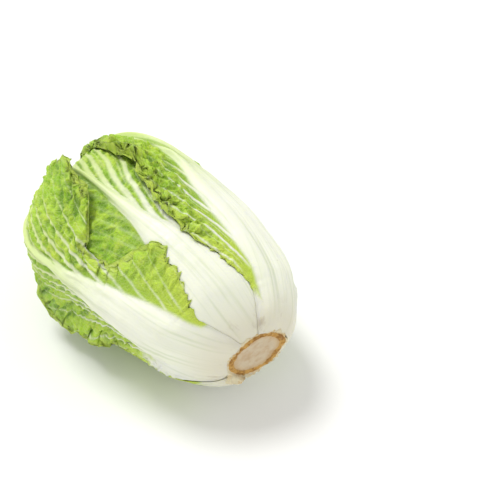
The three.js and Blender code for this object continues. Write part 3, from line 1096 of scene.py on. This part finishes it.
@dataclass
class LeafPiece:
    """The mesh of one leaf. Sizes are in mm, angles in degrees.

    Attributes:
        sheet: The laid leaf.
        layers: The head's layers.
        ruffle: Wavelength of the edge's ruffles.
        crimp: Wavelength of the crimps on the ruffles.
        slide: How far a ruffle's crest leans along the edge.
        roll: Length of blade that rolls up at the edge.
        settled: Width of the border that comes down to what is under it.
        calm: Frill up to which all of the border comes down, and from which none does.
        thinned: Width of the border that gets thinner.
        thinnest: Thickness at the edge, as a share of the blade's.
        deepest: Largest thickness, which the thickness weights refer to.
        weight_steps: How many weights are told apart.
        smooth: Largest angle between faces that are shaded as one.
    """

    sheet: Sheet
    layers: Layers
    ruffle: float = 17
    crimp: float = 7.5
    slide: float = 3.4
    roll: float = 11
    settled: float = 16
    calm: tuple[float, float] = (2.5, 5)
    thinned: float = 5
    thinnest: float = 0.35
    deepest: float = 14
    weight_steps: int = 400
    smooth: float = 70

    def build(self, material: bpy.types.Material) -> bpy.types.Object:
        """Model the leaf from a grid and dress it."""
        leaf = self.sheet.leaf
        deselect()
        bpy.ops.mesh.primitive_grid_add(x_subdivisions=leaf.rows, y_subdivisions=leaf.columns, size=2)
        piece = bpy.context.object
        piece.name = f"{leaf.name}_blade"
        grid = vertices(piece)
        self.shape(piece, (grid[:, 0] + 1) / 2, grid[:, 1])
        solid = piece.modifiers.new("blade", "SOLIDIFY")
        solid.thickness = self.deepest * MM
        solid.offset = -1
        solid.vertex_group = "thickness"
        bpy.ops.object.modifier_apply(modifier=solid.name)
        move_vertices(piece, vertices(piece) / MM)
        bpy.ops.object.shade_smooth_by_angle(angle=math.radians(self.smooth))
        dress(piece, material, leaf.name)
        return piece

    def shape(self, piece: bpy.types.Object, along: Array, side: Array) -> None:
        """Move the grid's vertices onto the leaf's outer face and store what the finish reads.

        Args:
            piece: The grid.
            along: Share of the way from the root to the leaf's tip.
            side: Share of the half width, from -1 to 1.
        """
        leaf, head = self.sheet.leaf, self.layers.head
        tip, after = leaf.tip(head, side), side > 0
        travelled = along * tip
        share = travelled / head.length
        width = leaf.half_width(head, share, after)
        across = side * width
        angle = leaf.rib_angle(share) + across / head.reference(share)
        free = 1 - self.layers.read(self.sheet.cover, share, angle)
        relief = leaf.relief(head, share, across)
        to_side = (width - np.abs(across)) / np.sqrt(1 + leaf.slope(head, share, after) ** 2)
        to_tip = tip - travelled
        to_edge = np.minimum(to_side, to_tip)
        frill = leaf.of_edge("frill", share, after)
        band = smoothstep(to_edge, leaf.EDGE_BAND, 0) * free * smoothstep(share, 0.12, 0.4)
        wave, lift, shifted = self.ruffled(travelled, across, side, band, frill)
        for stand in leaf.stands:
            lift += stand.rise(share, side) * free
        near = leaf.ripple(36, 22, travelled - np.abs(across), np.where(after, 60.0, -60.0))
        wander = np.clip((0.5 + 0.5 * near) * (0.7 + 0.5 * wave), 0.03, 1)
        bend = np.radians(leaf.of_edge("curl", share, after)) * free * wander
        inward, rise = self.rolled(to_edge, bend)
        to_tip_share = to_side**2 / np.maximum(to_side**2 + to_tip**2, 1e-6)
        final = np.clip((travelled - inward * to_tip_share + shifted) / head.length, 0, 1)
        moved = np.sign(across) * (np.abs(across) - inward * (1 - to_tip_share))
        turn = leaf.rib_angle(share) + moved / head.reference(share)
        under = self.layers.read(self.sheet.under, final, turn)
        ground = self.layers.read(self.sheet.ground, final, turn) + EDGE_GAP
        down = smoothstep(to_edge, self.settled, 0) * free * (1 - smoothstep(frill, *self.calm))
        under = mix(under, np.minimum(ground, under), down)
        taper = mix(self.thinnest, 1.0, smoothstep(to_edge, 0, self.thinned))
        skin = relief.raised * mix(0.4, 1.0, free) + (relief.pucker - leaf.LOWEST) * mix(0.15, 1.0, free)
        skin = skin * mix(0.4, 1.0, smoothstep(to_edge, 0, 6))
        move_vertices(piece, head.point(final, turn, under + relief.body * taper + skin + lift + rise))
        self.thicken(piece, (relief.body + 0.5 * relief.raised) * taper)
        # Painted shade mask "fold": high where the puckers lie low, more in the valleys of the edge's
        # ruffles.
        valley_shade = (0.5 - 0.5 * wave) * band * smoothstep(frill, 0, 4)
        store(piece, "white", relief.white)
        store(piece, "fold", np.clip(0.62 - relief.pucker / 3.6, 0, 1) + 0.3 * valley_shade)
        store(piece, "edge", smoothstep(to_edge, 9, 0))
        store(piece, "along", share)
        spot = np.stack([across, travelled, np.full_like(across, leaf.seed * 3.0)], axis=-1)
        store(piece, "place", spot * MM)

    def ruffled(
        self, travelled: Array, across: Array, side: Array, band: Array, frill: Array
    ) -> tuple[Array, Array, Array]:
        """Wave the border up and down, with crimps on its waves.

        Args:
            travelled: Distance from the butt.
            across: Distance across from the rib's middle.
            side: Share of the half width, from -1 to 1.
            band: How much each place belongs to the border, from 0 to 1.
            frill: How far the edge waves.

        Returns:
            The large wave from -1 to 1, how far the border rises and how far it slides to the tip.
        """
        leaf = self.sheet.leaf
        perimeter = travelled - np.abs(across)
        sway = leaf.ripple(60, 20, travelled, across)
        phase = TURN * perimeter / self.ruffle + 2.4 * sway
        wave = np.sin(phase)
        small = np.sin(TURN * perimeter / self.crimp + 3.1 * sway + 1.3 * side)
        swell = 0.6 + 0.4 * leaf.ripple(45, 21, travelled, across)
        lift = frill * swell * (band**1.4 * (0.5 + 0.5 * wave) + 0.28 * band**2.5 * (1 + small))
        lift += 1.4 * frill / 6 * band**2 * (1 + leaf.ripple(9, 24, travelled, across))
        return wave, lift, -self.slide * band**2 * np.cos(phase)

    def rolled(self, to_edge: Array, turn: Array) -> tuple[Array, Array]:
        """Roll up the last stretch of blade before an edge.

        Args:
            to_edge: Distance to the edge along the blade.
            turn: How far the blade has turned at the edge, in radians.

        Returns:
            How far each place moves inward and outward from the head.
        """
        part = np.clip(1 - to_edge / self.roll, 0, 1)
        bend = np.maximum(turn, 1e-3)
        inward = self.roll * (part - np.sin(bend * part) / bend)
        return inward, self.roll * (1 - np.cos(bend * part)) / bend

    def thicken(self, piece: bpy.types.Object, thickness: Array) -> None:
        """Weight the vertices by the thickness that they get."""
        group = piece.vertex_groups.new(name="thickness")
        steps = np.round(np.clip(thickness / self.deepest, 0, 1) * self.weight_steps).astype(int)
        for step in np.unique(steps):
            group.add(np.flatnonzero(steps == step).tolist(), float(step) / self.weight_steps, "REPLACE")


@dataclass
class HeartPiece:
    """The folded inner leaves in one closed piece.

    Attributes:
        layers: The head's layers.
        heights: Heights of the inner leaves in mm.
        crumpled: Shares of the head's length between which the tips' crumples set in.
        fold: Height of the tips' large folds in mm.
        cell: Size of the small puckers on them in mm.
        net: Least and largest height of those puckers in mm.
        closed: Share of the head's length over which the heart closes at the root.
        rings: Rings from root to tip.
        segments: Segments round the head.
    """

    layers: Layers
    heights: Array
    crumpled: tuple[float, float] = (0.72, 0.9)
    fold: float = 4.0
    cell: float = 9.0
    net: tuple[float, float] = (0.8, 2.2)
    closed: float = 0.06
    rings: int = 240
    segments: int = 180

    def build(self, material: bpy.types.Material) -> bpy.types.Object:
        """Model the heart from a sphere and dress it."""
        piece, share, angle = add_ball("heart_folds", self.rings, self.segments)
        head = self.layers.head
        out = head.outline(head.radius, share)
        x, y = out * np.cos(angle), out * np.sin(angle)
        at_tip = smoothstep(share, *self.crumpled)
        gap, own = Cells(self.cell, 501).at(x + 3 * Ripples(24, 502).at(x, y), y)
        folds = 1 - 2 * np.abs(Ripples(34, 503).at(x, y))
        crumple = at_tip * (self.fold * folds + mix(*self.net, own) * (1 - smoothstep(gap, 0.02, 0.4)))
        crumple += at_tip * 0.7 * Ripples(6, 504).at(x, y)
        height = self.layers.read(self.heights, share, angle) + crumple
        height *= smoothstep(share, 0, self.closed)
        points = head.point(share, angle, height)
        step = 1 / self.rings
        points[share < 0.5 * step] = head.settle(np.array([[head.mouth - 3, 0.0, 0.0]]))
        top = float(height[share > 1 - 1.5 * step].mean())
        points[share > 1 - 0.5 * step] = head.point(np.ones(1), np.zeros(1), np.array([top]))
        move_vertices(piece, points)
        # Painted shade mask "fold": high where the heart lies below its smoothed heights, more towards the
        # crumpled tip.
        proud = height - self.layers.read(self.blurred(), share, angle) - 0.5 * at_tip
        store(piece, "white", smoothstep(share, 0.45, 0.1))
        store(piece, "fold", np.clip(0.5 - proud / 4.0, 0, 1))
        store(piece, "edge", np.zeros_like(share))
        store(piece, "along", share)
        store(piece, "place", np.stack([x, share * head.length, y], axis=-1) * MM)
        bpy.ops.object.shade_smooth()
        dress(piece, material, "heart")
        return piece

    def blurred(self, reach: int = 6) -> Array:
        """Give the heights with their small forms smoothed away."""
        total = self.heights
        for _ in range(reach):
            total = sum(Layers.neighbours(total, 1)) / 4
        return total


@dataclass
class StemPiece:
    """The cut stem with its healed ring and the dried bases of leaves round it. Sizes are in mm.

    Attributes:
        layers: The head's layers, all laid.
        face: Share of the way from the middle of the front to the middle of the back that is face.
        sunk: How far the face lies behind the frame's.
        inner: Inner radius of the healed ring.
        outer: Outer radius of the healed ring.
        lip: Radius that the dried bases reach.
        proud: How far the ring stands out of the face.
        flap: How far a dried shred hangs past the lip.
        flap_angle: Turn of the shred round the stem, in radians.
        flap_width: Half width of the shred, as a sine of half the turn.
        neck: Radius of the stem behind its lip.
        folded: Share of the back in which the lip folds in.
        rings: Rings from front to back.
        segments: Segments round the stem.
    """

    layers: Layers
    face: float = 0.72
    sunk: float = 0.8
    inner: float = 23.4
    outer: float = 28.6
    lip: float = 32.5
    proud: float = 1.6
    flap: float = 8
    flap_angle: float = 2.5
    flap_width: float = 0.12
    neck: float = 26
    folded: float = 0.08
    rings: int = 110
    segments: int = 180

    def build(self, material: bpy.types.Material) -> bpy.types.Object:
        """Model the stem from a sphere and dress it."""
        piece, turn, angle = add_ball("stem_cut", self.rings, self.segments)
        lip_x, lip_y = self.lip * np.cos(angle), self.lip * np.sin(angle)
        hanging = np.exp(-((np.sin((angle - self.flap_angle) / 2) / self.flap_width) ** 4))
        edge = self.lip + 1.9 * Ripples(26, 401).at(lip_x, lip_y) + self.flap * hanging
        edge += 1.3 * Ripples(8, 402).at(lip_x, lip_y)
        front = turn < self.face
        radius = np.where(front, turn / self.face * edge, 0)
        x, ring = self.front(angle, radius, edge, hanging)
        behind = np.clip((turn - self.face) / (1 - self.face), 0, 1)
        back_x, back_radius = self.back(angle, behind, edge)
        x, radius = np.where(front, x, back_x), np.where(front, radius, back_radius)
        straight = np.stack([x, -radius * np.sin(angle), radius * np.cos(angle)], axis=-1)
        move_vertices(piece, self.layers.head.settle(straight))
        store(piece, "ring", np.where(front, ring, 0))
        store(piece, "near", np.where(front, smoothstep(radius, 17, self.inner + 1), 0))
        store(piece, "outer", np.where(front, smoothstep(radius, self.outer - 2, self.outer + 1), 1.0))
        bpy.ops.object.shade_smooth()
        dress(piece, material, "stem")
        return piece

    def front(self, angle: Array, radius: Array, edge: Array, hanging: Array) -> tuple[Array, Array]:
        """Shape the cut face, its healed ring and the dried bases.

        Args:
            angle: Turn round the stem.
            radius: Distance from the stem's axis.
            edge: Radius of the bases' edge.
            hanging: Where the shred hangs, from 0 to 1.

        Returns:
            The place along the head's axis and how much ring there is, from 0 to 1.
        """
        head = self.layers.head
        x_in, y_in = radius * np.cos(angle), radius * np.sin(angle)
        wobble = 1.3 * Ripples(30, 403).at(x_in, y_in)
        ring = smoothstep(radius, self.inner - 2.5 + wobble, self.inner + 1.5 + wobble)
        ring *= smoothstep(radius, self.outer + 2.0 + wobble, self.outer - 1.0 + wobble)
        rough = Ripples(5.5, 404).at(x_in, y_in)
        face = head.mouth + head.stem_rise - self.sunk
        x = face + ring * (self.proud + 0.7 * rough) + 0.25 * Ripples(9, 405).at(x_in, y_in)
        laid = self.bases(angle, np.minimum(radius, self.lip))
        laid = laid + (1.5 + 0.9 * rough + 1.6 * hanging) * smoothstep(edge - radius, 0, 2.5)
        outside = smoothstep(radius, self.outer - 0.5, self.outer + 2.5)
        return np.where(radius > self.outer - 0.5, mix(x, laid, outside), x), ring

    def back(self, angle: Array, share: Array, edge: Array) -> tuple[Array, Array]:
        """Shape the back, which narrows to a point inside the head.

        Args:
            angle: Turn round the stem.
            share: Share of the way from the lip to the point.
            edge: Radius of the bases' edge.

        Returns:
            The place along the head's axis and the distance from it.
        """
        head = self.layers.head
        steps = (0, self.folded, 2 * self.folded, 0.85, 1)
        collar = self.neck + 3
        radius = np.interp(share, steps, (self.lip, collar, self.neck, head.stem_end, 0))
        depth = np.interp(share, steps, (0, 0, 2.5, head.stem_depth - 1, head.stem_depth))
        folds, part = share < self.folded, share / self.folded
        rim = self.bases(angle, np.minimum(edge, self.lip))
        x = np.where(folds, mix(rim, head.mouth, part), head.mouth - depth)
        return x, np.where(folds, mix(edge, collar, part), radius)

    def bases(self, angle: Array, radius: Array) -> Array:
        """Find how far out the leaves' bases reach along the head's axis at places round the stem."""
        head = self.layers.head
        share, wanted = np.linspace(0, 0.12, 60), np.linspace(20, 44, 49)
        columns = []
        for turn in np.linspace(0, TURN, self.segments, endpoint=False):
            height = self.layers.read(self.layers.heights, share, np.full_like(share, turn))
            x = head.outline(head.x, share) + head.outline(head.out_x, share) * height
            out = head.outline(head.radius, share) + head.outline(head.out_radius, share) * height
            columns.append(np.interp(wanted, np.maximum.accumulate(out), x))
        table = sum(np.roll(columns, step, axis=0) for step in range(-4, 5)).T / 9
        row = (radius - wanted[0]) / (wanted[1] - wanted[0])
        return read_table(table, row, (angle / TURN) % 1 * self.segments)


@dataclass
class Studio:
    """Camera, lights and floor. Lengths are in metres and angles in degrees.

    Attributes:
        head: The head, which the camera is aimed at.
        surround: Strength of the pale surround.
        sun: Where the soft sun stands.
        power: Strength of the sun.
        spread: How wide the sun looks from the head.
        azimuth: Turn of the camera round the head from -Y towards +X.
        elevation: Height of the camera as an angle.
        distance: From the camera to the middle of the head's core.
        lens: Focal length in mm.
        sensor: Width of the camera's sensor in mm.
        target: Where the middle of the core lands in the picture, in pixels from its top left corner.
        frame: Side of the picture in pixels.
        floor_size: Side of the floor.
    """

    head: Head
    surround: float = 0.74
    sun: tuple[float, float, float] = (-0.42, -0.08, 0.88)
    power: float = 1.7
    spread: float = 22
    azimuth: float = 47.9
    elevation: float = 45.77
    distance: float = 1.05
    lens: float = 80
    sensor: float = 36
    target: tuple[float, float] = (164.4, 261.4)
    frame: float = 480
    floor_size: float = 12

    def build(self) -> None:
        """Set up the floor, the lights and the camera."""
        self.lay_floor()
        self.hang_lights()
        self.place_camera()

    def lay_floor(self) -> None:
        """Lay a large pale floor."""
        deselect()
        bpy.ops.mesh.primitive_plane_add(size=self.floor_size)
        floor = bpy.context.object
        floor.name = "floor"
        floor.data.materials.append(FloorFinish().make())

    def hang_lights(self) -> None:
        """Hang a soft sun in a pale surround."""
        world = bpy.data.worlds.new("studio")
        bpy.context.scene.world = world
        world.use_nodes = True
        background = world.node_tree.nodes["Background"]
        background.inputs["Color"].default_value = (1.0, 1.0, 0.99, 1)
        background.inputs["Strength"].default_value = self.surround
        deselect()
        bpy.ops.object.light_add(type="SUN", location=self.sun)
        light = bpy.context.object
        light.name = "key"
        light.data.energy = self.power
        light.data.angle = math.radians(self.spread)
        light.rotation_euler = (-light.location).to_track_quat("-Z", "Y").to_euler()

    def place_camera(self) -> None:
        """Aim a camera so that the core's middle lands on its place in the picture."""
        turn, rise = math.radians(self.azimuth), math.radians(self.elevation)
        away = np.array([math.sin(turn) * math.cos(rise), -math.cos(turn) * math.cos(rise), math.sin(rise)])
        middle = self.head.shift * MM
        deselect()
        bpy.ops.object.camera_add(location=tuple(middle + away * self.distance))
        camera = bpy.context.object
        camera.name = "camera"
        camera.data.lens = self.lens
        camera.data.sensor_width = self.sensor
        straight = type(camera.location)(-away).to_track_quat("-Z", "Y")
        focal = self.lens / self.sensor * self.frame
        right, down = self.target[0] - self.frame / 2, self.target[1] - self.frame / 2
        seen = type(camera.location)((right, -down, -focal))
        ahead = type(camera.location)((0, 0, -1))
        camera.rotation_euler = (straight @ seen.rotation_difference(ahead)).to_euler()
        bpy.context.scene.camera = camera
        bpy.context.scene.view_settings.view_transform = "Standard"


def lay_leaves(layers: Layers) -> tuple[Array, list[Sheet]]:
    """Lay all leaves over each other from the inside out.

    Args:
        layers: The bare layers.

    Returns:
        The heights of the inner leaves, and the outer leaves as they were laid.
    """
    for leaf in INNER_LEAVES:
        layers.lay(leaf, 0)
    layers.heights *= smoothstep(layers.share, 0, 0.2)
    heart = layers.heights.copy()
    sheets: list[Sheet] = []
    for leaf in WRAPPER_LEAVES:
        laid = layers.lay(leaf, WRAPPER_GAP)
        for sheet in sheets:
            sheet.cover = np.maximum(sheet.cover, smoothstep(laid.inside, -8, 4))
        sheets.append(laid)
        LOG.info("%s laid", leaf.name)
    return heart, sheets


def main() -> None:
    """Build the head, its finishes and the studio round it."""
    logging.basicConfig(level=logging.INFO, format="%(name)s: %(message)s")
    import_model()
    head = Head()
    Studio(head).build()
    layers = Layers(head)
    heart, sheets = lay_leaves(layers)
    skin = LeafFinish().make()
    # The heart's fold colour is painted shade in its low places.
    inner_skin = LeafFinish("heart", pale="dfe68c", fresh="c2d862", deep="a4c646", fold="6f9a26").make()
    HeartPiece(layers, heart).build(inner_skin)
    for sheet in sheets:
        LeafPiece(sheet, layers).build(skin)
    StemPiece(layers).build(StemFinish().make())
    deselect()


if __name__ == "__main__":
    main()
